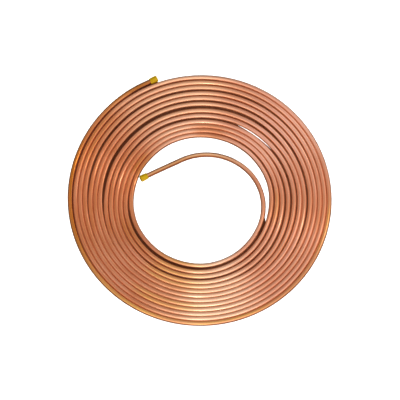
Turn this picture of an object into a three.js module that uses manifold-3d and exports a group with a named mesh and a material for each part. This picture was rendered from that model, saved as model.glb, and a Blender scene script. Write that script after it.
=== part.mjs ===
// Soft copper tube wound as a flat, single-layer coil, with a push-on plastic cap on each end.
// Millimetres, +Z up. The coil lies on z = 0, and its axis is the Z axis.
// Angles run counter-clockwise from +X, seen from above. Positions along the winding are in turns,
// counted inwards from the outer end.
import * as THREE from "three";
import Module from "manifold-3d";

// Tube
const TUBE_OD = 19.05;
const TUBE_WALL = 1.07;
const TUBE_SIDES = 12; // flats lie at the top, the bottom and both sides
const STEPS_PER_TURN = 38; // whole steps, so that the facets of neighbouring turns face each other

// Winding: where it starts, how many turns are wound, and the outermost turn
const WOUND_FROM_ANGLE = 113.6;
const WOUND_TURNS = 12.6;
const RING_RADIUS = 526; // centreline of the outermost turn where it is tightest
const SPRING_SPAN = 62; // the outer end springs away over about this many degrees
const SPRING_POWER = 1.4;
const BULGE = { angle: 316, span: 58, reach: 6.8 }; // degrees after the start, and millimetres

// Spacing: each turn lies against the one outside it, SNUG apart, and further apart at loose places.
const SNUG = 0.35;
const LOOSE = [
  // [position, half-width, extra gap]: turns, turns, millimetres
  [0.02, 0.33, 3.2],
  [0.98, 0.14, 3.0],
  [1.1, 0.22, 0.7],
  [1.95, 0.26, 2.2],
  [2.98, 0.29, 5.5],
  [3.94, 0.26, 2.5],
  [4.83, 0.3, 5.2],
  [5.99, 0.27, 9.2],
  [6.77, 0.27, 3.4],
  [7.11, 0.24, 2.0],
  [7.87, 0.36, 5.8],
  [8.63, 0.19, 4.7],
  [9.48, 0.28, 4.3],
  [10.33, 0.15, 2.0],
  [10.69, 0.28, 3.9],
  [11.45, 0.36, 7.2],
];

// Ends: the outer one is straight, the inner one bends across the bore and then runs straight.
const OUTER_STRAIGHT = 44;
const OUTER_RISE_SPAN = 0.075; // turns over which the tube climbs to the level of its outer cap
const TAIL_FIRST_SHARE = 0.827; // bend radii, as shares of the radius at which the tail leaves
const TAIL_SECOND_SHARE = 0.899;
const TAIL_FIRST_SWEEP = 78;
const TAIL_HEADING = 206.4; // direction in which the inner end runs
const TAIL_RISE_LENGTH = 110;
const BORE_DEPTH = 36; // the ends are open this far, and the tube is solid between

// Caps
const CAP_LENGTH = 32;
const CAP_SLIP = 0.3; // between the cap and the tube, at the sides and at the end
const CAP_MOUTH_WALL = 2.1;
const CAP_FLARE = 1.4; // how much wider the closed end is, on the radius
const CAP_END_WALL = 2.8;
const CAP_EDGE_RADIUS = 4.5; // the closed end is well rounded
const CAP_LIP_RADIUS = 0.5;
const CAP_SEGMENTS = 24;
const CAP_TO_FLOOR = 0.3;
const CAP_TO_RING = 0.3;

const tubeCorner = TUBE_OD / 2 / Math.cos(Math.PI / TUBE_SIDES);
const capBoreRadius = tubeCorner + CAP_SLIP;
const capMouthRadius = capBoreRadius + CAP_MOUTH_WALL;
const capEndRadius = capMouthRadius + CAP_FLARE;
const tubeAxisHeight = TUBE_OD / 2;
const capAxisHeight = Math.max(capEndRadius + CAP_TO_FLOOR, tubeAxisHeight);

const rad = THREE.MathUtils.degToRad;

// Clear gap between a turn and the next one inwards.
function gapAt(position) {
  let gap = SNUG;
  for (const [centre, halfWidth, extra] of LOOSE) {
    const t = (position - centre) / halfWidth;
    if (Math.abs(t) < 1) gap += extra * (1 - t ** 4) ** 2;
  }
  return gap;
}

function bulgeAt(position) {
  return BULGE.reach * Math.exp(-(((position * 360 - BULGE.angle) / BULGE.span) ** 2));
}

// The outer end has to stand clear of the start of the second turn, which fixes how far it springs.
const springReach = TUBE_OD + gapAt(0) + bulgeAt(1) - bulgeAt(0);

// Centreline radius of the winding. A later turn follows the turn outside it.
function windingRadius(position) {
  if (position >= 1) return windingRadius(position - 1) - TUBE_OD - gapAt(position - 1);
  const spring = springReach * Math.exp(-(((position * 360) / SPRING_SPAN) ** SPRING_POWER));
  return RING_RADIUS + bulgeAt(position) + spring;
}

function windingPoint(position) {
  const angle = rad(WOUND_FROM_ANGLE + position * 360);
  const radius = windingRadius(position);
  return new THREE.Vector3(radius * Math.cos(angle), radius * Math.sin(angle), tubeAxisHeight);
}

function windingDirection(position) {
  const step = 1e-4;
  const ahead = windingPoint(position + step);
  return ahead.sub(windingPoint(position)).normalize();
}

// Height of the tube's axis on its way between the coil's level (t = 0) and a cap's level (t = 1).
function riseHeight(t) {
  return THREE.MathUtils.lerp(tubeAxisHeight, capAxisHeight, THREE.MathUtils.smoothstep(t, 0, 1));
}

function outerEndStations() {
  const start = windingPoint(0);
  start.z = capAxisHeight;
  const back = windingDirection(0).negate();
  return [1, 0.5].map((share) => start.clone().addScaledVector(back, share * OUTER_STRAIGHT));
}

function windingStations() {
  const count = Math.round(WOUND_TURNS * STEPS_PER_TURN);
  return Array.from({ length: count + 1 }, (_, i) => {
    const position = i / STEPS_PER_TURN;
    const point = windingPoint(position);
    point.z = riseHeight(1 - position / OUTER_RISE_SPAN);
    return point;
  });
}

// The tail bends in from the last turn, and its cap's rounded edge stops just short of the ring.
function tailStations() {
  const stations = [];
  const at = windingPoint(WOUND_TURNS);
  const leaveRadius = Math.hypot(at.x, at.y);
  const direction = windingDirection(WOUND_TURNS);
  let heading = Math.atan2(direction.y, direction.x);
  const toTurn = THREE.MathUtils.euclideanModulo(TAIL_HEADING - THREE.MathUtils.radToDeg(heading), 360);
  const bends = [
    [TAIL_FIRST_SHARE, TAIL_FIRST_SWEEP],
    [TAIL_SECOND_SHARE, toTurn - TAIL_FIRST_SWEEP],
  ];
  for (const [share, sweep] of bends) {
    const radius = share * leaveRadius;
    const count = Math.round((sweep * STEPS_PER_TURN) / 360);
    const centreX = at.x - radius * Math.sin(heading);
    const centreY = at.y + radius * Math.cos(heading);
    for (let i = 1; i <= count; i++) {
      const angle = heading + (rad(sweep) * i) / count;
      at.set(centreX + radius * Math.sin(angle), centreY - radius * Math.cos(angle), tubeAxisHeight);
      stations.push(at.clone());
    }
    heading += rad(sweep);
  }
  const ahead = new THREE.Vector3(Math.cos(heading), Math.sin(heading), 0);
  const leftwards = new THREE.Vector3(-ahead.y, ahead.x, 0);
  const toCapEnd = reachToRing(at.dot(leftwards)) - at.dot(ahead);
  const straight = toCapEnd - CAP_END_WALL - CAP_SLIP;
  const rise = Math.min(TAIL_RISE_LENGTH, straight - OUTER_STRAIGHT);
  for (const along of [rise / 3, (rise * 2) / 3, rise, straight]) {
    const point = at.clone().addScaledVector(ahead, along);
    point.z = riseHeight(along / rise);
    stations.push(point);
  }
  return stations;
}

// How far along its heading, from the coil's axis, the tail's cap reaches before its rounded edge
// would touch the ring. The tail passes the axis at the distance "aside".
function reachToRing(aside) {
  const side = Math.abs(aside) + capEndRadius - CAP_EDGE_RADIUS;
  let meetsAt = TAIL_HEADING;
  let reach = 0;
  for (let pass = 0; pass < 4; pass++) {
    const free = innerSideRadius(meetsAt) - CAP_TO_RING - CAP_EDGE_RADIUS;
    reach = Math.sqrt(free ** 2 - side ** 2) + CAP_EDGE_RADIUS;
    meetsAt = TAIL_HEADING + Math.sign(aside) * THREE.MathUtils.radToDeg(Math.atan2(side, reach));
  }
  return reach;
}

// Radius of the ring's inner side at an angle, where its facets come nearest to the axis.
function innerSideRadius(angle) {
  const pastStart = THREE.MathUtils.euclideanModulo(angle - WOUND_FROM_ANGLE, 360) / 360;
  const turn = Math.floor(WOUND_TURNS - pastStart);
  return (windingRadius(turn + pastStart) - TUBE_OD / 2) * Math.cos(Math.PI / STEPS_PER_TURN);
}

// A path through stations that keeps the tube's section upright, so that its flats stay level.
class TubePath extends THREE.Curve {
  constructor(stations) {
    super();
    this.stations = stations;
  }

  getPoint(t, target = new THREE.Vector3()) {
    const last = this.stations.length - 1;
    const index = Math.min(Math.floor(t * last + 1e-9), last - 1);
    return target.lerpVectors(this.stations[index], this.stations[index + 1], t * last - index);
  }

  getUtoTmapping(u) {
    return u;
  }

  tangentAtStation(i) {
    const before = this.stations[Math.max(i - 1, 0)];
    const after = this.stations[Math.min(i + 1, this.stations.length - 1)];
    return after.clone().sub(before).normalize();
  }

  computeFrenetFrames() {
    const up = new THREE.Vector3(0, 0, 1);
    const tangents = this.stations.map((_, i) => this.tangentAtStation(i));
    const normals = tangents.map((t) => new THREE.Vector3().crossVectors(t, up).normalize());
    const binormals = tangents.map((t, i) => new THREE.Vector3().crossVectors(t, normals[i]));
    return { tangents, normals, binormals };
  }
}

function polygonShape(cornerRadius, sides) {
  const corners = Array.from({ length: sides }, (_, i) => {
    const angle = ((i + 0.5) * 2 * Math.PI) / sides;
    return new THREE.Vector2(cornerRadius * Math.cos(angle), cornerRadius * Math.sin(angle));
  });
  return new THREE.Shape(corners);
}

const { Manifold, Mesh } = await Module().then((wasm) => {
  wasm.setup();
  return wasm;
});

function toSolid(geometry) {
  const source = geometry.index ? geometry.toNonIndexed() : geometry;
  const vertProperties = new Float32Array(source.attributes.position.array);
  const triVerts = Uint32Array.from({ length: vertProperties.length / 3 }, (_, i) => i);
  const mesh = new Mesh({ numProp: 3, vertProperties, triVerts });
  mesh.merge();
  return Manifold.ofMesh(mesh);
}

function toGeometry(solid) {
  const { vertProperties, triVerts } = solid.getMesh();
  const geometry = new THREE.BufferGeometry();
  geometry.setAttribute("position", new THREE.BufferAttribute(vertProperties, 3));
  geometry.setIndex(new THREE.BufferAttribute(triVerts, 1));
  return geometry;
}

// A drill as wide as the tube's bore, standing out of the end so that it cuts the end face.
function endDrill(end, inwards) {
  const boreCorner = (TUBE_OD / 2 - TUBE_WALL) / Math.cos(Math.PI / TUBE_SIDES);
  const overrun = 5;
  const path = new TubePath([
    end.clone().addScaledVector(inwards, -overrun),
    end.clone().addScaledVector(inwards, BORE_DEPTH),
  ]);
  const section = polygonShape(boreCorner, TUBE_SIDES);
  return new THREE.ExtrudeGeometry(section, { steps: 1, extrudePath: path });
}

function tubeGeometry(stations) {
  const section = polygonShape(tubeCorner, TUBE_SIDES);
  const path = new TubePath(stations);
  let solid = toSolid(
    new THREE.ExtrudeGeometry(section, { steps: stations.length - 1, extrudePath: path })
  );
  for (const { end, inwards } of tubeEnds(stations)) {
    solid = solid.subtract(toSolid(endDrill(end, inwards)));
  }
  return toGeometry(solid);
}

function tubeEnds(stations) {
  const [first, second] = stations;
  const [last, beforeLast] = [stations.at(-1), stations.at(-2)];
  return [
    { end: first, inwards: second.clone().sub(first).normalize() },
    { end: last, inwards: beforeLast.clone().sub(last).normalize() },
  ];
}

// A quarter round between two straight sides of a profile, as points of an arc.
function arcPoints(centreX, centreY, radius, from, to, count) {
  const arc = new THREE.EllipseCurve(centreX, centreY, radius, radius, rad(from), rad(to), to < from);
  return arc.getPoints(count);
}

// Closed profile of a cap, turned about Y: the mouth at y = 0 and the closed end at the top.
function capProfile() {
  const top = CAP_LENGTH;
  const edge = CAP_EDGE_RADIUS;
  const lip = CAP_LIP_RADIUS;
  return [
    new THREE.Vector2(0, top),
    ...arcPoints(capEndRadius - edge, top - edge, edge, 90, 0, 5),
    ...arcPoints(capMouthRadius - lip, lip, lip, 0, -90, 2),
    new THREE.Vector2(capBoreRadius, 0),
    new THREE.Vector2(capBoreRadius, top - CAP_END_WALL),
    new THREE.Vector2(0, top - CAP_END_WALL),
  ].reverse();
}

function capMesh(name, { end, inwards }) {
  const material = new THREE.MeshStandardMaterial({ color: 0xc4a50f, roughness: 0.45, metalness: 0 });
  const cap = new THREE.Mesh(new THREE.LatheGeometry(capProfile(), CAP_SEGMENTS), material);
  const outwards = inwards.clone().negate();
  const across = new THREE.Vector3().crossVectors(outwards, new THREE.Vector3(0, 0, 1));
  const turn = new THREE.Matrix4().makeBasis(across, outwards, new THREE.Vector3(0, 0, 1));
  cap.name = name;
  cap.quaternion.setFromRotationMatrix(turn);
  const mouthToEnd = CAP_LENGTH - CAP_END_WALL - CAP_SLIP;
  cap.position.copy(end).addScaledVector(inwards, mouthToEnd);
  return cap;
}

const stations = [...outerEndStations(), ...windingStations(), ...tailStations()];
const copper = new THREE.MeshStandardMaterial({ color: 0xc97f58, roughness: 0.38, metalness: 1 });
const copperTube = new THREE.Mesh(tubeGeometry(stations), copper);
copperTube.name = "copper_tube";

const [outerEnd, innerEnd] = tubeEnds(stations);
const coil = new THREE.Group();
coil.name = "copper_tube_coil";
coil.add(copperTube);
coil.add(capMesh("outer_end_cap", outerEnd));
coil.add(capMesh("inner_end_cap", innerEnd));

export default coil;
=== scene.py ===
# %% [markdown]
# # A flat coil of soft copper tube
# The object is one long tube, wound flat in a single layer, with its inner end bent across the
# bore and a yellow plastic cap pushed on each end. The CAD model gives its true size and place.
# This lesson builds a smooth, fine version of each piece round that model, in the same metres
# and the same frame, and then lights it for a view from nearly overhead.

# %% Load the CAD model as the fixed frame
import math

import bpy
import numpy as np
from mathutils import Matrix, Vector


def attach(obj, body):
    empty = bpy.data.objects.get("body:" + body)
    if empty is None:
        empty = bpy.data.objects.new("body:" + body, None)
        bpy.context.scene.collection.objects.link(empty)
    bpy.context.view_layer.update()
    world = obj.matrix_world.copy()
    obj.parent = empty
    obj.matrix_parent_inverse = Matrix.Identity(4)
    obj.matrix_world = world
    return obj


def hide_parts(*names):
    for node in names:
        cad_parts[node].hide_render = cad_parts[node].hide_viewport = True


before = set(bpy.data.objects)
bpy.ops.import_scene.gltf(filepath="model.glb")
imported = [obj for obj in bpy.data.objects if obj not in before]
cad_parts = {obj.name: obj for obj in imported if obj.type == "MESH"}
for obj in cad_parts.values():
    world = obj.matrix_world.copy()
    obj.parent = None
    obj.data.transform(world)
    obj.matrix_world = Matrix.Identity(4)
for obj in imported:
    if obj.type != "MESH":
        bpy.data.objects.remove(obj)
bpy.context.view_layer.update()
scene = bpy.context.scene
print("CAD nodes:", sorted(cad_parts))

# %% [markdown]
# ## The winding as a formula
# A coil like this is wound from outside to inside: each turn lies against the turn before it, one
# tube diameter further in. It is soft, so it springs a little apart in places. One formula can
# say all that: the first turn has its own radius, and every later turn is the one outside it,
# less a diameter and a gap. Drawing the spiral by hand as a curve would give the same shape,
# but the formula keeps every turn clear of its neighbours, and it is the one the CAD model uses.

# %% Sizes of the tube and of its outermost turn, in metres, degrees and turns
MM = 0.001
TUBE_R = 9.525 * MM
TURNS = 12.6
RING_R = 526 * MM  # centreline of the outermost turn, where it is tightest
BULGE_REACH = 6.8 * MM
BULGE_ANGLE = 316  # degrees after the start
BULGE_SPAN = 58
SPRING_SPAN = 62  # the outer end springs away over about this many degrees
SPRING_POWER = 1.4
print("a tube of", round(2 * TUBE_R / MM, 2), "mm in", TURNS, "turns")

# %% The gap between a turn and the next one in
# Most rows of LOOSE are a least-squares fit to the gaps of one real coil, rounded.
SNUG = 0.35 * MM
LOOSE = [  # position and half-width in turns, extra gap in millimetres
    (0.02, 0.33, 3.2), (0.98, 0.14, 3.0), (1.1, 0.22, 0.7), (1.95, 0.26, 2.2), (2.98, 0.29, 5.5),
    (3.94, 0.26, 2.5), (4.83, 0.3, 5.2), (5.99, 0.27, 9.2), (6.77, 0.27, 3.4), (7.11, 0.24, 2.0),
    (7.87, 0.36, 5.8), (8.63, 0.19, 4.7), (9.48, 0.28, 4.3), (10.33, 0.15, 2.0),
    (10.69, 0.28, 3.9), (11.45, 0.36, 7.2),
]


def gap_at(u):
    gap = np.full_like(u, SNUG)
    for centre, half, extra in LOOSE:
        t = np.clip(np.abs((u - centre) / half), 0, 1)
        gap += extra * MM * (1 - t**4) ** 2
    return gap


print(len(LOOSE), "looser places")

# %% The radius of the tube's centreline, turn by turn
STEPS = 150  # rings of vertices in one turn


def bulge_at(u):
    return BULGE_REACH * np.exp(-(((u * 360 - BULGE_ANGLE) / BULGE_SPAN) ** 2))


count = round(TURNS * STEPS) + 1
turn = np.arange(count) / STEPS
gaps = gap_at(turn)
spring = 2 * TUBE_R + gaps[0] + bulge_at(turn[STEPS]) - bulge_at(turn[0])
radius = RING_R + bulge_at(turn) + spring * np.exp(-((turn * 360 / SPRING_SPAN) ** SPRING_POWER))
for i in range(STEPS, count):
    radius[i] = radius[i - STEPS] - 2 * TUBE_R - gaps[i - STEPS]
print("radius from %.1f to %.1f mm" % (radius[0] / MM, radius[-1] / MM))

# %% [markdown]
# ## The two ends
# At the outer end the tube runs straight into its cap. At the inner end it leaves the last turn,
# bends across the bore in two arcs and runs straight again. A cap is thicker than the tube and
# would reach through the floor, so the tube climbs gently before each cap, as the real one does.
# Arcs are used because a bending spring or a hand makes arcs; a free curve would look limp.

# %% Cap sizes, and the height at which a cap holds the tube
CAD_SIDES = 12  # the CAD model's tube has twelve flats, and a cap clears their corners
SLIP = 0.3 * MM  # between the tube and a cap, all round and at the end
CAP_LENGTH = 32 * MM
CAP_MOUTH_WALL = 2.1 * MM
CAP_END_WALL = 2.8 * MM
CAP_FLARE = 1.4 * MM  # its closed end is this much wider than its mouth, on each side
CAP_EDGE = 4.5 * MM  # the rounding of its closed end
CAP_TO_FLOOR = 0.3 * MM
CAP_BORE_R = TUBE_R / math.cos(math.pi / CAD_SIDES) + SLIP
CAP_MOUTH_R = CAP_BORE_R + CAP_MOUTH_WALL
CAP_END_R = CAP_MOUTH_R + CAP_FLARE
CAP_Z = CAP_END_R + CAP_TO_FLOOR


def soft_step(x):
    x = np.clip(x, 0, 1)
    return x * x * (3 - 2 * x)


def rise(t):
    return TUBE_R + (CAP_Z - TUBE_R) * soft_step(t)


print("the ends climb %.1f mm" % ((CAP_Z - TUBE_R) / MM))

# %% Points of the winding, then of the straight outer end
START_ANGLE = 113.6
OUTER_RISE = 0.075  # the outer end climbs over this part of a turn
OUTER_STRAIGHT = 44 * MM
OUTER_STEPS = 6

angle = np.radians(START_ANGLE + 360 * turn)
level = rise(1 - turn / OUTER_RISE)
winding = np.stack([radius * np.cos(angle), radius * np.sin(angle), level], axis=1)
back = winding[0] - winding[1]
back = back * [1, 1, 0] / np.linalg.norm(back[:2])
outer = [winding[0] + back * OUTER_STRAIGHT * (1 - k / OUTER_STEPS) for k in range(OUTER_STEPS)]
print("winding of", len(winding), "points")

# %% The inner end leaves the last turn and bends across the bore in two arcs
# These three are fitted to the centreline of one real coil, rounded.
BEND_SHARES = (0.827, 0.899)  # bend radii, as shares of the radius at which the end leaves
FIRST_SWEEP = math.radians(78)
TAIL_HEADING = math.radians(206.4)
BEND_STEPS = 32

at = winding[-1] * [1, 1, 0]
step = winding[-1] - winding[-2]
heading = math.atan2(step[1], step[0]) % (2 * math.pi)
leave_r = math.hypot(at[0], at[1])
to_turn = (TAIL_HEADING - heading) % (2 * math.pi)
tail = []
for share, sweep in zip(BEND_SHARES, (FIRST_SWEEP, to_turn - FIRST_SWEEP)):
    bend_r = share * leave_r
    centre = at + [-bend_r * math.sin(heading), bend_r * math.cos(heading), 0]
    for k in range(1, BEND_STEPS + 1):
        a = heading + sweep * k / BEND_STEPS
        at = centre + [bend_r * math.sin(a), -bend_r * math.cos(a), 0]
        tail.append(at + [0, 0, TUBE_R])
    heading += sweep
print("it leaves at %.0f mm and turns by %.0f degrees" % (leave_r / MM, math.degrees(to_turn)))

# %% Then it runs straight, until its cap nearly touches the ring again
CAP_TO_RING = 0.3 * MM
CAD_STEPS = 38  # the CAD model's turn has this many straight stretches, which lie a little inside
TAIL_RISE = 110 * MM
STRAIGHT_STEPS = 24

run = np.array([math.cos(heading), math.sin(heading), 0])
aside = at @ [-run[1], run[0], 0]
cap_side = abs(aside) + CAP_END_R - CAP_EDGE
meets = heading
for _ in range(4):  # the ring's radius depends on where the cap meets it, so try a few times
    past_start = (math.degrees(meets) - START_ANGLE) % 360 / 360
    inmost = np.interp(past_start + math.floor(TURNS - past_start), turn, radius)
    free = (inmost - TUBE_R) * math.cos(math.pi / CAD_STEPS) - CAP_TO_RING - CAP_EDGE
    reach = math.sqrt(free**2 - cap_side**2) + CAP_EDGE
    meets = heading + math.copysign(math.atan2(cap_side, reach), aside)
straight = reach - at @ run - CAP_END_WALL - SLIP
for k in range(1, STRAIGHT_STEPS + 1):
    so_far = straight * k / STRAIGHT_STEPS
    tail.append(at + run * so_far + [0, 0, rise(so_far / TAIL_RISE)])
print("straight for %.0f mm" % (straight / MM))

# %% One path from end to end, and the metres along it
path = np.array(outer + list(winding) + tail)
along = np.concatenate([[0], np.cumsum(np.linalg.norm(np.diff(path, axis=0), axis=1))])
wound = slice(len(outer), len(outer) + count)  # the points of the path that lie on the winding
print("path of", len(path), "points,", round(along[-1], 2), "m long")

# %% [markdown]
# ## A tube that no machine laid perfectly
# Real turns never lie at exactly one height: where the coil was pressed or lifted, a turn stands
# a fraction of a millimetre above its neighbour. That is what breaks up the highlights from turn
# to turn. A few slow waves along the tube give it. They only ever lift, because the floor is flat.

# %% Slow waves in height, from a few sines with seeded phases
WAVES = ((1.9, 0.30), (0.83, 0.22), (0.37, 0.12))  # wavelength in metres, height in millimetres
WHOLE_WAVE = 6.28  # in radians
CALM_ENDS = 0.25  # metres at each end over which the waves fade away

rng = np.random.default_rng(7)
lift = np.zeros(len(path))
for wavelength, size in WAVES:
    phase = rng.uniform(0, WHOLE_WAVE)
    lift += size * (1 + np.sin(2 * math.pi * along / wavelength + phase)) / 2
lift *= np.clip(np.minimum(along, along[-1] - along) / CALM_ENDS, 0, 1)
path[:, 2] += lift * MM
print("lifts up to", round(float(lift.max()), 2), "mm")

# %% [markdown]
# ## Sweeping the section along the path
# A tube is a circle carried along a line. A curve object with a bevel would do it in one step, but
# building the mesh ring by ring gives it two things a curve can't: real walls at the open ends,
# and exact coordinates along and around the tube, which the drawn lines in its finish need.

# %% Rings of vertices that stay upright along the path
SIDES = 28

ahead = np.gradient(path, axis=0)
ahead /= np.linalg.norm(ahead, axis=1)[:, None]
right = np.cross(ahead, [0, 0, 1.0])
right /= np.linalg.norm(right, axis=1)[:, None]
up = np.cross(right, ahead)
around = 2 * math.pi * np.arange(SIDES) / SIDES - math.pi / 2  # the first vertex is underneath
spokes = right[:, None] * np.cos(around)[:, None] + up[:, None] * np.sin(around)[:, None]
print(len(spokes), "rings of", SIDES, "vertices")

# %% The outside from end to end, and a bore that runs back into each end
TUBE_WALL = 1.07 * MM
BORE_DEPTH = 40 * MM

last = len(path) - 1
first_deep = int(np.searchsorted(along, BORE_DEPTH))
last_deep = last - int(np.searchsorted(along, along[-1] - BORE_DEPTH))
into_first = np.arange(first_deep, -1, -1)
into_last = np.arange(last, last - last_deep - 1, -1)
order = np.concatenate([into_first, np.arange(last + 1), into_last])
is_bore = np.ones(len(order), bool)
is_bore[first_deep + 1 : first_deep + 2 + last] = False
ring_r = np.where(is_bore, TUBE_R - TUBE_WALL, TUBE_R)
rings = path[order][:, None] + spokes[order] * ring_r[:, None, None]
print("bores of", first_deep, "and", last_deep, "rings")

# %% The tube, with faces between neighbouring rings and a disc at the bottom of each bore
def quads_between(rings_count, sides):
    faces = []
    for i in range(rings_count - 1):
        for j in range(sides):
            k = (j + 1) % sides
            faces.append((i * sides + j, i * sides + k, (i + 1) * sides + k, (i + 1) * sides + j))
    return faces


def mesh_object(name, vertices, faces):
    mesh = bpy.data.meshes.new(name)
    mesh.from_pydata(np.asarray(vertices).reshape(-1, 3).tolist(), [], faces)
    mesh.polygons.foreach_set("use_smooth", [True] * len(mesh.polygons))
    mesh.update()
    thing = bpy.data.objects.new(name, mesh)
    scene.collection.objects.link(thing)
    return thing


faces = quads_between(len(rings), SIDES)
first_disc = tuple(range(SIDES - 1, -1, -1))
last_disc = tuple((len(rings) - 1) * SIDES + j for j in range(SIDES))
tube = mesh_object("copper_tube_fine", rings, faces + [first_disc, last_disc])
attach(tube, "root")
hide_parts("copper_tube")
print("tube:", len(tube.data.polygons), "faces")

# %% [markdown]
# ## Coordinates that follow the tube
# A drawn tube is marked along its length: die lines, wipes and tarnish all run with it. So the
# finish is drawn in metres along and around the tube, and not in the space it lies in. The bake
# map is a second layout of the same tube, cut into strips that fill a square, so that a texture
# baked from the finish keeps its detail. An automatic unwrap would make one hopeless long sliver.

# %% Metres along and around, in a UV map
def corner_grid(rings_count, sides):
    i = np.repeat(np.arange(rings_count - 1), sides)
    j = np.tile(np.arange(sides), rings_count - 1)
    ring_of = np.stack([i, i, i + 1, i + 1], axis=1)
    side_of = np.stack([j, j + 1, j + 1, j], axis=1)
    return ring_of.ravel(), side_of.ravel()


corner_ring, corner_side = corner_grid(len(rings), SIDES)
metres = np.zeros((len(tube.data.loops), 2))
metres[: len(corner_ring), 0] = along[order][corner_ring]
metres[: len(corner_ring), 1] = corner_side / SIDES * 2 * math.pi * TUBE_R
tube.data.uv_layers.new(name="metres").data.foreach_set("uv", metres.ravel())
print("%.1f m along by %.0f mm around" % tuple(metres.max(axis=0) / (1, MM)))

# %% Strips for the bake
PER_ROW = 152
ROWS = (len(rings) - 2) // PER_ROW + 1
SIDE_MARGIN = 0.004
ROW_MARGIN = 0.06  # as a share of a row's height
DISCS_AT = 0.001  # the discs are out of sight, so they share one corner of the map

row = np.repeat(np.arange(len(rings) - 1) // PER_ROW, SIDES * 4)
strips = np.zeros_like(metres)
across_row = (corner_ring - row * PER_ROW) / PER_ROW
strips[: len(row), 0] = SIDE_MARGIN + (1 - 2 * SIDE_MARGIN) * across_row
strips[: len(row), 1] = (row + ROW_MARGIN + (1 - 2 * ROW_MARGIN) * corner_side / SIDES) / ROWS
strips[len(row) :] = DISCS_AT
tube.data.uv_layers.new(name="OFBake").data.foreach_set("uv", strips.ravel())
print(ROWS, "strips")

# %% [markdown]
# ## Where its colour changes
# Copper changes colour where it is touched and where air gets at it, and the outermost turn and the
# free inner end are golden, amber and brown in places. Much of the list is painted light and shade,
# though: whole sides are painted lighter where highlights fall and darker where the light falls off,
# and the golden places are partly painted glints. Painting that by hand on the mesh would work once, but
# a
# list of places, by bearing and turn, can be read and changed. This one was set to match
# one real coil. Each tone becomes a value on every vertex, and the material looks it up by name.

# %% How far each ring is along the winding and the inner end
FREE_AFTER = 0.1  # metres over which the ring's tones give way to the inner end's own

bearing = np.degrees(np.arctan2(path[:, 1], path[:, 0]))
turn_at = np.interp(along, along[wound], turn)
on_tail = soft_step((along - along[wound][-1]) / FREE_AFTER)
print("the inner end is", round(float(along[-1] - along[wound][-1]), 2), "m long")

# %% The tones of the inner end: painted shade on each flank, and a paler top that is a painted highlight
TAIL_SHEEN_FROM = 20  # bearings in degrees
TAIL_SHEEN_OVER = 50
AMBER_FROM = 95
AMBER_OVER = 25

tail_sheen_and_shade = on_tail * soft_step((bearing - TAIL_SHEEN_FROM) / TAIL_SHEEN_OVER)
near_its_cap = on_tail * soft_step((bearing - AMBER_FROM) / AMBER_OVER)
# on the inner end, pale is a painted highlight along its top, the dark flanks are painted shade, and the
# gold is partly a painted glint
amount = {
    "pale": 1.0 * tail_sheen_and_shade,
    "pink": np.zeros(len(path)),
    "brown": 0.3 * on_tail,
    "gold": 0.25 * tail_sheen_and_shade,
    "amber": 0.35 * near_its_cap,
    "flank_shade": 0.9 * tail_sheen_and_shade,
}
print("tones:", ", ".join(amount))

# %% The tones of the winding: the copper's own colour, with painted light and shade
TONES = [  # tone, strength, bearing and half-width in degrees, first and last turn
    # amber at 152 on the outermost turn: painted shade, darker and more orange on the left
    ("amber", 1.0, 152, 62, 0, 0.55),
    ("amber", 0.4, 325, 30, 0, 1.2),
    ("amber", 0.5, 147, 14, 1, 3),
    ("amber", 0.6, 147, 10, 10.6, 12.6),
    ("amber", 0.5, 212, 16, 10, 12),
    # gold: partly the copper's own golden tone, partly painted glints where the lamps catch the turns
    ("gold", 0.75, 250, 65, 0, 0.9),
    ("gold", 0.5, 346, 12, 0, 1.2),
    ("gold", 0.15, 100, 30, 1, 7),
    ("gold", 0.5, 252, 16, 3, 5),
    ("gold", 0.5, 254, 20, 7.5, 12.5),
    ("gold", 0.3, 355, 12, 10, 11),
    # brown at 174, 214 and 4: painted shade, whole sides of the coil made darker
    ("brown", 0.8, 174, 44, 0, 13),
    ("brown", 0.45, 4, 20, 0, 13),
    ("brown", 0.5, 214, 34, 0, 13),
    ("brown", 0.65, 246, 16, 1, 13),
    ("brown", 0.15, 325, 30, 0.5, 4),
    ("brown", 0.6, 83, 12, 9.8, 12.2),
    # pink at 32, pale at 272 and 108: painted light, whole sides made lighter where highlights fall
    ("pink", 0.9, 32, 26, 0, 13),
    ("pale", 0.85, 272, 27, 0.9, 13),
    ("pale", 0.5, 108, 28, 0, 13),
    # the last two: painted shade on the flanks of the outermost turn
    ("flank_shade", 0.3, 165, 35, 0.1, 0.6),
    ("flank_shade", 0.75, 116, 6, 0, 0.05),
]
SOFT_EDGE = 1.5  # a tone is gone at this many half-widths
PER_TURN = 6  # a tone starts and ends within a sixth of a turn

for tone, strength, middle, half, first, final in TONES:
    off = np.abs((bearing - middle + 180) % 360 - 180)
    near = soft_step(SOFT_EDGE - off / half)
    near *= soft_step((turn_at - first) * PER_TURN + 1) * soft_step((final - turn_at) * PER_TURN + 1)
    amount[tone] = np.maximum(amount[tone], strength * near * (1 - on_tail))
print(len(TONES), "places")

# %% [markdown]
# ## Shade beside the wider gaps
# Between two turns that stand apart, each flank sees mostly the dark gap, so it looks darker than
# a flank that touches its neighbour. The lamps used here give only part of that. Lamps that gave
# it all would take many tries, so each vertex also gets a value for how open the gap is on its
# inner and on its outer side, and the material darkens the flank by it. The effect is stronger
# on the side away from the strongest soft box. A flank with no turn beside it counts as fully open.

# %% How open the gap is on each side of every turn
OPEN_FROM = 2.5 * MM  # a gap this wide begins to show
OPEN_OVER = 5 * MM
OPEN_LIT = 0.4  # the most that a gap counts for on the side of the strongest soft box
OPEN_EXTRA = 0.5  # added on the other side
LIT_FROM = 10  # about the strongest soft box's bearing in degrees
AWAY_FROM = 0.4  # the other side starts where the cosine falls to this

away = soft_step(AWAY_FROM - np.cos(np.radians(bearing - LIT_FROM)))
depth = OPEN_LIT + OPEN_EXTRA * away


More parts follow.
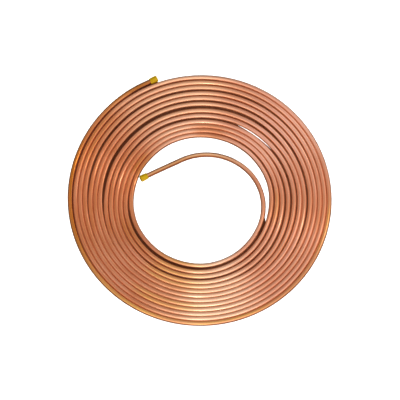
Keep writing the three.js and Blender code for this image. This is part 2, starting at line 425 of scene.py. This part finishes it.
def looseness(u):
    inside = (u > 0) & (u < TURNS - 1)
    return np.where(inside, depth * soft_step((gap_at(u) - OPEN_FROM) / OPEN_OVER), 1.0)


amount["open_inwards"] = looseness(turn_at)
amount["open_outwards"] = looseness(turn_at - 1)
for name, values in amount.items():
    mark = tube.data.attributes.new(name, "FLOAT", "POINT")
    mark.data.foreach_set("value", np.repeat(values[order], SIDES).astype(np.float32))
    print(name, "up to", round(float(values.max()), 2))

# %% [markdown]
# ## The copper
# New soft copper is pinkish and only half shiny: it is drawn through a die, annealed and wiped, so
# its surface is covered with very fine lines that run along it. It is never quite one colour.
# An image wrapped round the tube would repeat, so four noises are used, from broad patches to
# hair-fine lines. All are stretched along the tube, and each lays one shade over the last. In
# Blender a material is a graph of nodes, and a few short helpers keep that graph easy to write.

# %% Copper: a new material, placed by the map in metres
def new_material(name):
    material = bpy.data.materials.new(name)
    material.use_nodes = True
    nodes = material.node_tree.nodes
    return material, nodes, nodes["Principled BSDF"]


def feed(nodes, socket, value):
    if isinstance(value, bpy.types.NodeSocket):
        nodes.id_data.links.new(value, socket)
    else:
        socket.default_value = value


def add(nodes, kind, **inputs):
    node = nodes.new(kind)
    for key, value in inputs.items():
        feed(nodes, node.inputs[key.replace("_", " ")], value)
    return node


copper, nodes, shader = new_material("drawn_copper")
metres_map = add(nodes, "ShaderNodeUVMap")
metres_map.uv_map = "metres"
where = metres_map.outputs["UV"]
print("made", copper.name)

# %% Copper: four noises along the tube
GRAIN = {  # how often it changes along and around the tube, per metre, and its detail
    "patches": (1.3, 9.0, 3.0),
    "clouds": (7.0, 30.0, 4.0),
    "streaks": (4.5, 220.0, 2.0),
    "lines": (5.0, 1500.0, 2.0),
}


def stretched_noise(nodes, source, scale, detail):
    spread = add(nodes, "ShaderNodeMapping", Vector=source, Scale=scale)
    return add(nodes, "ShaderNodeTexNoise", Vector=spread.outputs[0], Scale=1.0,
               Detail=detail).outputs["Fac"]


noise = {}
for kind, (lengthways, crossways, detail) in GRAIN.items():
    noise[kind] = stretched_noise(nodes, where, (lengthways, crossways, 1.0), detail)
print("copper's noises:", ", ".join(noise))

# %% Copper: shades laid over one another
PINK = (0.82, 0.45, 0.33, 1)
WARM = (0.79, 0.41, 0.27, 1)
PALE = (0.96, 0.67, 0.48, 1)
BROWN = (0.60, 0.22, 0.08, 1)
LAYERS = [  # noise, where the shade starts and is full, how much it covers, shade
    ("patches", 0.35, 0.65, 1.0, WARM),
    ("clouds", 0.55, 0.8, 0.4, BROWN),
    ("lines", 0.35, 0.7, 0.15, BROWN),
    ("streaks", 0.52, 0.72, 0.5, PALE),
    ("streaks", 0.48, 0.28, 0.4, BROWN),
]
MIX_FACTOR, MIX_A, MIX_B, MIX_RESULT = 0, 6, 7, 2  # a Mix node's sockets for colours


def mix(nodes, factor, a, b):
    node = nodes.new("ShaderNodeMix")
    node.data_type = "RGBA"
    for index, value in ((MIX_FACTOR, factor), (MIX_A, a), (MIX_B, b)):
        feed(nodes, node.inputs[index], value)
    return node.outputs[MIX_RESULT]


def ramp(nodes, value, low, high, to_low=0.0, to_high=1.0):
    return add(nodes, "ShaderNodeMapRange", Value=value, From_Min=low, From_Max=high,
               To_Min=to_low, To_Max=to_high).outputs["Result"]


colour = PINK
for kind, starts, full, covers, shade in LAYERS:
    colour = mix(nodes, ramp(nodes, noise[kind], starts, full, 0.0, covers), colour, shade)
print(len(LAYERS), "layers over pink copper")

# %% Copper: the tones, painted light and shade among them, broken up by the noises
PINKER = (0.92, 0.54, 0.41, 1)
AMBER = (0.52, 0.20, 0.03, 1)
GOLD = (0.82, 0.49, 0.15, 1)
BLOTCHY = (0.3, 0.6, 0.6, 1.0)  # the noise's two ends, and the strengths that they stand for
STREAKY = (0.38, 0.58, 0.25, 1.05)


def attribute(nodes, name):
    node = nodes.new("ShaderNodeAttribute")
    node.attribute_name = name
    return node.outputs["Fac"]


def multiply(nodes, a, b):
    node = nodes.new("ShaderNodeMath")
    node.operation = "MULTIPLY"
    feed(nodes, node.inputs[0], a)
    feed(nodes, node.inputs[1], b)
    return node.outputs[0]


# a cloudy noise that breaks up the pale, pink and brown tones, painted light and shade among them
blotchy = ramp(nodes, noise["clouds"], *BLOTCHY)
streaky = ramp(nodes, noise["streaks"], *STREAKY)
shade_of = {
    "pale": (PALE, blotchy),
    "pink": (PINKER, blotchy),
    "brown": (BROWN, blotchy),
    "gold": (GOLD, streaky),
    "amber": (AMBER, streaky),
}
for tone, (shade, broken_up) in shade_of.items():
    here = multiply(nodes, attribute(nodes, tone), broken_up)
    colour = mix(nodes, here, colour, shade)
print("tones in the copper:", ", ".join(shade_of))

# %% [markdown]
# ## The two flanks of the tube
# The top of each turn looks much the same everywhere, but its flanks don't, and the lamps here
# don't give all of that. So every flank gets painted light that makes it lighter, the inner end
# and parts of the outermost turn get painted shade on their flanks, and so does a flank beside an
# open gap. The place around the tube is known from the map in metres, so a ramp from the top downwards
# makes a flank.

# %% Copper: painted light and painted shade on the flanks
FLANK_LIGHT = (0.98, 0.58, 0.36, 1)
FLANK_SHADE = (0.26, 0.10, 0.03, 1)
SHADED = (0.42, 0.16, 0.06, 1)
FLANK_LIGHT_BAND = (0.18, 0.42)  # where it starts and is full, from the top (0) to underneath (1)
FLANK_SHADE_BAND = (0.07, 0.22)
SHADED_BAND = (0.16, 0.34)
TOP = math.pi * TUBE_R  # metres around the tube, from underneath

round_it = add(nodes, "ShaderNodeSeparateXYZ", Vector=where).outputs["Y"]


def flank(sign, band):
    starts, full = band
    return ramp(nodes, round_it, TOP * (1 + starts * sign), TOP * (1 + full * sign))


# painted light: every flank made lighter, and paler still where the pale tone lies
flank_light = mix(nodes, attribute(nodes, "pale"), FLANK_LIGHT, PALE)
for sign, facing in ((-1, "open_outwards"), (1, "open_inwards")):
    colour = mix(nodes, flank(sign, FLANK_LIGHT_BAND), colour, flank_light)
    # painted shade: dark flanks on the inner end and parts of the outermost turn, then darker flanks
    # beside open gaps
    flank_darkening = multiply(nodes, attribute(nodes, "flank_shade"), flank(sign, FLANK_SHADE_BAND))
    colour = mix(nodes, flank_darkening, colour, FLANK_SHADE)
    shade = multiply(nodes, attribute(nodes, facing), flank(sign, SHADED_BAND))
    colour = mix(nodes, shade, colour, SHADED)
feed(nodes, shader.inputs["Base Color"], colour)
print("flanks from", FLANK_SHADE_BAND[0], "to", FLANK_LIGHT_BAND[1], "of the way down")

# %% [markdown]
# ## How the copper shines
# Die lines stretch a highlight across the tube, as on brushed metal, so the shader is made
# anisotropic, with its direction taken from the map in metres. A plain, even gloss would look like
# plastic. The golden and amber places and the brighter streaks are smoother.

# %% Copper: smoother where it is golden and amber, and along its streaks
GOLD_ROUGHNESS = 0.34
AMBER_ROUGHNESS = 0.26
STREAK_ROUGHNESS = 0.27
SATIN = (0.3, 0.75, 0.40, 0.48)  # the noise's two ends, and the roughnesses that they stand for
BRIGHT_STREAKS = (0.52, 0.64)

gloss = ramp(nodes, noise["clouds"], *SATIN)
bright_streaks = ramp(nodes, noise["streaks"], *BRIGHT_STREAKS)
polished = (
    (attribute(nodes, "gold"), GOLD_ROUGHNESS),
    (attribute(nodes, "amber"), AMBER_ROUGHNESS),
    (bright_streaks, STREAK_ROUGHNESS),
)
for here, roughness in polished:
    gloss = mix(nodes, here, gloss, (roughness, roughness, roughness, 1))
feed(nodes, shader.inputs["Roughness"], gloss)
print("roughness down to", AMBER_ROUGHNESS)

# %% Copper: highlights stretched by its fine lines
QUARTER_TURN = 0.25  # the highlight runs across the lines, not along them
LINE_DEPTH = 0.00005

tangent = add(nodes, "ShaderNodeTangent")
tangent.direction_type = "UV_MAP"
tangent.uv_map = "metres"
bump = add(nodes, "ShaderNodeBump", Strength=0.25, Distance=LINE_DEPTH, Height=noise["lines"])
metal = {
    "Metallic": 1.0,
    "Specular Tint": (0.5, 0.3, 0.2, 1),
    "Anisotropic": 0.8,
    "Anisotropic Rotation": QUARTER_TURN,
    "Tangent": tangent.outputs["Tangent"],
    "Normal": bump.outputs["Normal"],
}
for socket, value in metal.items():
    feed(nodes, shader.inputs[socket], value)
tube.data.materials.append(copper)
print("drawn copper:", len(nodes), "nodes")

# %% [markdown]
# ## The end caps
# Each cap is a soft plastic cup pushed over the end to keep dirt out. It is moulded, so it has
# rounded edges, a wall that is thinner at the mouth and a small gate mark in the middle of its
# closed end. A cylinder with a bevel would come close, but have neither the flare nor the hollow.
# So its outline is drawn once and turned about the tube's axis, as on a lathe.

# %% The outline of a cap, from the middle of its closed end round to the inside
GATE_MARK = [(0.0, 0.35), (1.1, 0.35), (1.5, 0.05), (2.2, 0.0)]  # radius and depth in millimetres
RIM_ROUND = 0.5 * MM  # the rounding of the mouth, outside and inside
BORE_ROUND = 0.3 * MM


def arc(cx, cy, r, start, end, steps):
    a = np.radians(np.linspace(start, end, steps + 1))
    return [(cx + r * math.cos(t), cy + r * math.sin(t)) for t in a]


top = CAP_LENGTH
outline = [(r * MM, top - deep * MM) for r, deep in GATE_MARK]
outline += arc(CAP_END_R - CAP_EDGE, top - CAP_EDGE, CAP_EDGE, 90, 0, 12)
outline += arc(CAP_MOUTH_R - RIM_ROUND, RIM_ROUND, RIM_ROUND, 0, -90, 4)
outline += arc(CAP_BORE_R + BORE_ROUND, BORE_ROUND, BORE_ROUND, -90, -180, 3)
outline += [(CAP_BORE_R, top - CAP_END_WALL), (0.0, top - CAP_END_WALL)]
print("cap outline:", len(outline), "points")

# %% Turn the outline about the line of each tube end
CAP_SIDES = 64
PINHOLE = 0.02 * MM  # the innermost ring is this small, so that its faces don't collapse


def cap(name, node, end, outwards):
    outwards = outwards / np.linalg.norm(outwards)
    across = np.cross(outwards, [0, 0, 1.0])
    mouth = end - outwards * (CAP_LENGTH - CAP_END_WALL - SLIP)
    a = 2 * math.pi * np.arange(CAP_SIDES) / CAP_SIDES
    circle = across[None] * np.cos(a)[:, None] + np.array([[0, 0, 1.0]]) * np.sin(a)[:, None]
    rings = [mouth + outwards * h + circle * max(r, PINHOLE) for r, h in outline]
    thing = mesh_object(name, rings, quads_between(len(rings), CAP_SIDES))
    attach(thing, "root")
    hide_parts(node)
    return thing


outer_cap = cap("outer_cap_fine", "outer_end_cap", path[0], path[0] - path[1])
inner_cap = cap("inner_cap_fine", "inner_end_cap", path[-1], path[-1] - path[-2])
print("caps:", len(outer_cap.data.polygons), "faces each")

# %% [markdown]
# ## The yellow plastic
# Soft moulded plastic takes an even colour from its pigment, a little cloudy where it flowed, and
# a fine skin from the mould. A plain colour would look like paint, so one broad noise shifts the
# yellow and the gloss together, and a very fine one is the mould's grain.

# %% Yellow plastic
YELLOW = (0.56, 0.38, 0.004, 1)
OCHRE = (0.47, 0.29, 0.006, 1)
CLOUD_SCALE = 60.0  # per metre
GRAIN_SCALE = 1800.0
GRAIN_DEPTH = 0.0001
CLOUDY = (0.35, 0.7)
CAP_SATIN = (0.3, 0.7, 0.38, 0.5)

plastic, nodes, shader = new_material("cap_plastic")
where = add(nodes, "ShaderNodeTexCoord").outputs["Object"]
cloudy = stretched_noise(nodes, where, (CLOUD_SCALE, CLOUD_SCALE, CLOUD_SCALE), 4.0)
grain = stretched_noise(nodes, where, (GRAIN_SCALE, GRAIN_SCALE, GRAIN_SCALE), 2.0)
bump = add(nodes, "ShaderNodeBump", Strength=0.2, Distance=GRAIN_DEPTH, Height=grain)
moulded = {
    "Base Color": mix(nodes, ramp(nodes, cloudy, *CLOUDY), YELLOW, OCHRE),
    "Roughness": ramp(nodes, cloudy, *CAP_SATIN),
    "Normal": bump.outputs["Normal"],
}
for socket, value in moulded.items():
    feed(nodes, shader.inputs[socket], value)
for thing in (outer_cap, inner_cap):
    thing.data.materials.append(plastic)
print("cap plastic:", len(nodes), "nodes")

# %% [markdown]
# ## The floor
# The coil lies on a plain pale floor. Light that falls between the turns is mostly caught by them,
# and what comes back up is warm and dim. A single floor, lit evenly enough to be white all round,
# would also shine white through every gap. So the floor between the turns is a narrow strip of its
# own, which follows the winding from under the outer end and gets its own weak lamp. In one place
# two turns stand so far apart that the white floor does show, and there the strip leaves a slit.

# %% A pale floor all round
FLOOR_SIZE = 60.0
FLOOR_Z = -0.0005  # the tube's underside is at 0

half = FLOOR_SIZE / 2
corners = [(-half, -half, FLOOR_Z), (half, -half, FLOOR_Z), (half, half, FLOOR_Z), (-half, half, FLOOR_Z)]
floor = mesh_object("floor", corners, [(0, 1, 2, 3)])
print("floor of", FLOOR_SIZE, "m")

# %% The two edges of the strip: a turn's centreline, and that of the next turn in
PAST_RING = 9  # points by which the strip goes on under the wedge where the inner end leaves

many = count - STEPS + PAST_RING
outer_edge = np.array([outer[0], *winding[:many]])
inner_edge = np.array([winding[STEPS - 2], *winding[STEPS:], *tail[:PAST_RING]])
print("strip of", len(outer_edge), "points a side")

# %% The strip, drawn back from its outer edge at the slit and at its end
SLIT = (7.783, 7.87)  # turns at which it begins and ends
SLIT_OPENS = 0.46  # of the strip's width
SLIT_BLUNTNESS = 0.3
TAPER = 7  # points over which the strip narrows to nothing
STRIP_Z = -0.0004  # just over the floor

slit = np.concatenate([[0], np.clip((turn[:many] - SLIT[0]) / (SLIT[1] - SLIT[0]), 0, 1)])
opened = SLIT_OPENS * (4 * slit * (1 - slit)) ** SLIT_BLUNTNESS
opened[-TAPER:] = np.linspace(0, 1, TAPER)
drawn_back = outer_edge + (inner_edge - outer_edge) * opened[:, None]
edges = np.concatenate([drawn_back, inner_edge]) * [1, 1, 0] + [0, 0, STRIP_Z]
points = len(outer_edge)
strip = [(i, i + 1, i + 1 + points, i + points) for i in range(points - 1)]
floor_of_gaps = mesh_object("floor_of_gaps", edges, strip)
print("strip of", len(strip), "faces")

# %% One pale, matt material for both, which the copper doesn't mirror
PALE_GREY = (0.9, 0.9, 0.9, 1)
MATT = 0.9

pale, nodes, shader = new_material("pale_floor")
feed(nodes, shader.inputs["Base Color"], PALE_GREY)
feed(nodes, shader.inputs["Roughness"], MATT)
for part in (floor, floor_of_gaps):
    part.data.materials.append(pale)
    part.visible_glossy = False
print("staged:", floor.name, "and", floor_of_gaps.name)

# %% [markdown]
# ## What the copper mirrors
# Metal shows what it reflects, so its surroundings matter as much as its lamps. A bright studio
# gives it a pale sky all round and something dark and brown below. One even colour would make every
# turn look flat. So the world goes from brown below to bright walls and a slightly dimmer ceiling,
# and it is brighter towards the front and the right. It is mirrored, but gives no diffuse light.

# %% A world of brown ground, bright walls and a dimmer ceiling
GROUND = (0.2, 0.075, 0.03, 1)
WALLS = (1.15, 1.15, 1.15, 1)
CEILING = (0.92, 0.92, 0.92, 1)
WALLS_FROM = 0.03  # how far above the horizon, as a share of straight up

world = bpy.data.worlds.new("studio")
scene.world = world
world.use_nodes = True
nodes = world.node_tree.nodes
towards = add(nodes, "ShaderNodeTexCoord").outputs["Generated"]
upwards = add(nodes, "ShaderNodeSeparateXYZ", Vector=towards).outputs["Z"]
sky = add(nodes, "ShaderNodeValToRGB", Fac=upwards)
sky.color_ramp.elements[0].color = GROUND
sky.color_ramp.elements[1].color = CEILING
sky.color_ramp.elements.new(WALLS_FROM).color = WALLS
feed(nodes, nodes["Background"].inputs["Color"], sky.outputs["Color"])
print("sky of", len(sky.color_ramp.elements), "colours")

# %% Brighter towards the front and a little to the right, and only mirrored
LEAN = (0.2, -0.5, 0)
LEAN_TO_STRENGTH = (-1, 1, 0, 2)  # no lean leaves the strength at 1

lean = add(nodes, "ShaderNodeVectorMath", Vector=towards)
lean.operation = "DOT_PRODUCT"
lean.inputs[1].default_value = LEAN
strength = ramp(nodes, lean.outputs["Value"], *LEAN_TO_STRENGTH)
feed(nodes, nodes["Background"].inputs["Strength"], strength)
world.cycles_visibility.diffuse = False
print("leaning by", round(math.hypot(*LEAN), 2))

# %% [markdown]
# ## Lamps that the copper doesn't mirror
# The floor has to be evenly white, the gaps dim and warm, and the matt caps have to be lit from
# above, but none of these lamps should show in the metal. Blender can link a lamp to the objects
# it lights and to those that shade it. One lamp for everything would be truer to a real studio,
# but it would tie the white of the floor to the brightness of the copper.

# %% Overhead lamps: one for the floor, one for the gaps and one for the caps
OVERHEAD_SPREAD = math.radians(60)
FLOOR_POWER = 5.0
GAP_POWER = 0.2
GAP_WARMTH = (1.0, 0.37, 0.17)
CAP_POWER = 3.0
CAP_LAMP_TILT = (math.radians(20), math.radians(10), 0)


def collection_of(name, *things):
    group = bpy.data.collections.new(name)
    for thing in things:
        group.objects.link(thing)
    return group


def overhead(name, energy, *lit):
    lamp = bpy.data.lights.new(name, "SUN")
    lamp.energy = energy
    lamp.angle = OVERHEAD_SPREAD
    thing = bpy.data.objects.new(name, lamp)
    thing.visible_glossy = False
    thing.light_linking.receiver_collection = collection_of(name + "_lights", *lit)
    scene.collection.objects.link(thing)
    return thing


floor_lamp = overhead("floor_lamp", FLOOR_POWER, floor)
gap_lamp = overhead("gap_lamp", GAP_POWER, floor_of_gaps)
gap_lamp.data.color = GAP_WARMTH
cap_lamp = overhead("cap_lamp", CAP_POWER, outer_cap, inner_cap)
cap_lamp.rotation_euler = CAP_LAMP_TILT
only_floor_shades = collection_of("only_floor_shades", floor)  # the object casts no shadow on it
for lamp in (floor_lamp, gap_lamp):
    lamp.light_linking.blocker_collection = only_floor_shades
    print(lamp.name, "at", round(lamp.data.energy, 2))

# %% [markdown]
# ## Soft boxes
# Broad soft boxes near the coil give each turn a long highlight, and small far ones give it short
# glints. They light only the object, so their size and place can be chosen for the metal alone.
# A point lamp would leave hard white dots on a surface as smooth as this.

# %% Three broad soft boxes and two small ones, which all face the middle of the coil
SOFT_BOXES = [  # name, azimuth, elevation, distance, width and height, power
    ("left_box", 150, 28, 1.4, (1.8, 0.7), 1.5),
    ("front_box", 270, 20, 2, (3.0, 0.7), 7),
    ("side_box", 43, 28, 2.5, (2.2, 0.8), 4.5),
    ("right_box", 12, 50, 6, (0.4, 0.4), 24),
    ("front_spark", 268, 28, 6, (0.5, 0.5), 12),
]


def soft_box(name, azimuth, elevation, distance, size, power):
    a, e = math.radians(azimuth), math.radians(elevation)
    flat = distance * math.cos(e)
    place = (flat * math.cos(a), flat * math.sin(a), distance * math.sin(e))
    lamp = bpy.data.lights.new(name, "AREA")
    lamp.shape = "ELLIPSE"
    lamp.size, lamp.size_y = size
    lamp.energy = power
    thing = bpy.data.objects.new(name, lamp)
    thing.location = place
    thing.rotation_euler = (-Vector(place)).to_track_quat("-Z", "Y").to_euler()
    scene.collection.objects.link(thing)
    return thing


on_object = collection_of("object", tube, outer_cap, inner_cap)
for settings in SOFT_BOXES:
    lamp = soft_box(*settings)
    lamp.light_linking.receiver_collection = on_object
    print(lamp.name, "of", lamp.data.energy, "W")

# %% [markdown]
# ## The camera
# A coil on the floor is best seen from nearly overhead, with its front a little nearer. A long lens
# from far away keeps the ring's ellipse true; a wide lens close by would swell the near side. The
# plain view transform leaves the white floor white, and a gamma under one deepens the mid-tones.

# %% Camera, nearly overhead and far away
DISTANCE = 24.0
TILT = math.radians(72.2)  # above the horizon
AIM_X = -2.05 * MM
AIM_Y = 1.3 * MM
VIEW_WIDTH = 1.6387  # metres across the view, at the coil
SENSOR = 36
CLIP_END = 100
VIEW_GAMMA = 0.8

camera_data = bpy.data.cameras.new("camera")
camera_data.lens = SENSOR * DISTANCE / VIEW_WIDTH
camera_data.clip_end = CLIP_END
camera = bpy.data.objects.new("camera", camera_data)
scene.collection.objects.link(camera)
camera.location = (AIM_X, AIM_Y - DISTANCE * math.cos(TILT), DISTANCE * math.sin(TILT) + TUBE_R)
camera.rotation_euler = (math.pi / 2 - TILT, 0, 0)
scene.camera = camera
scene.view_settings.view_transform = "Standard"
scene.view_settings.gamma = VIEW_GAMMA
print("lens of", round(camera_data.lens), "mm")
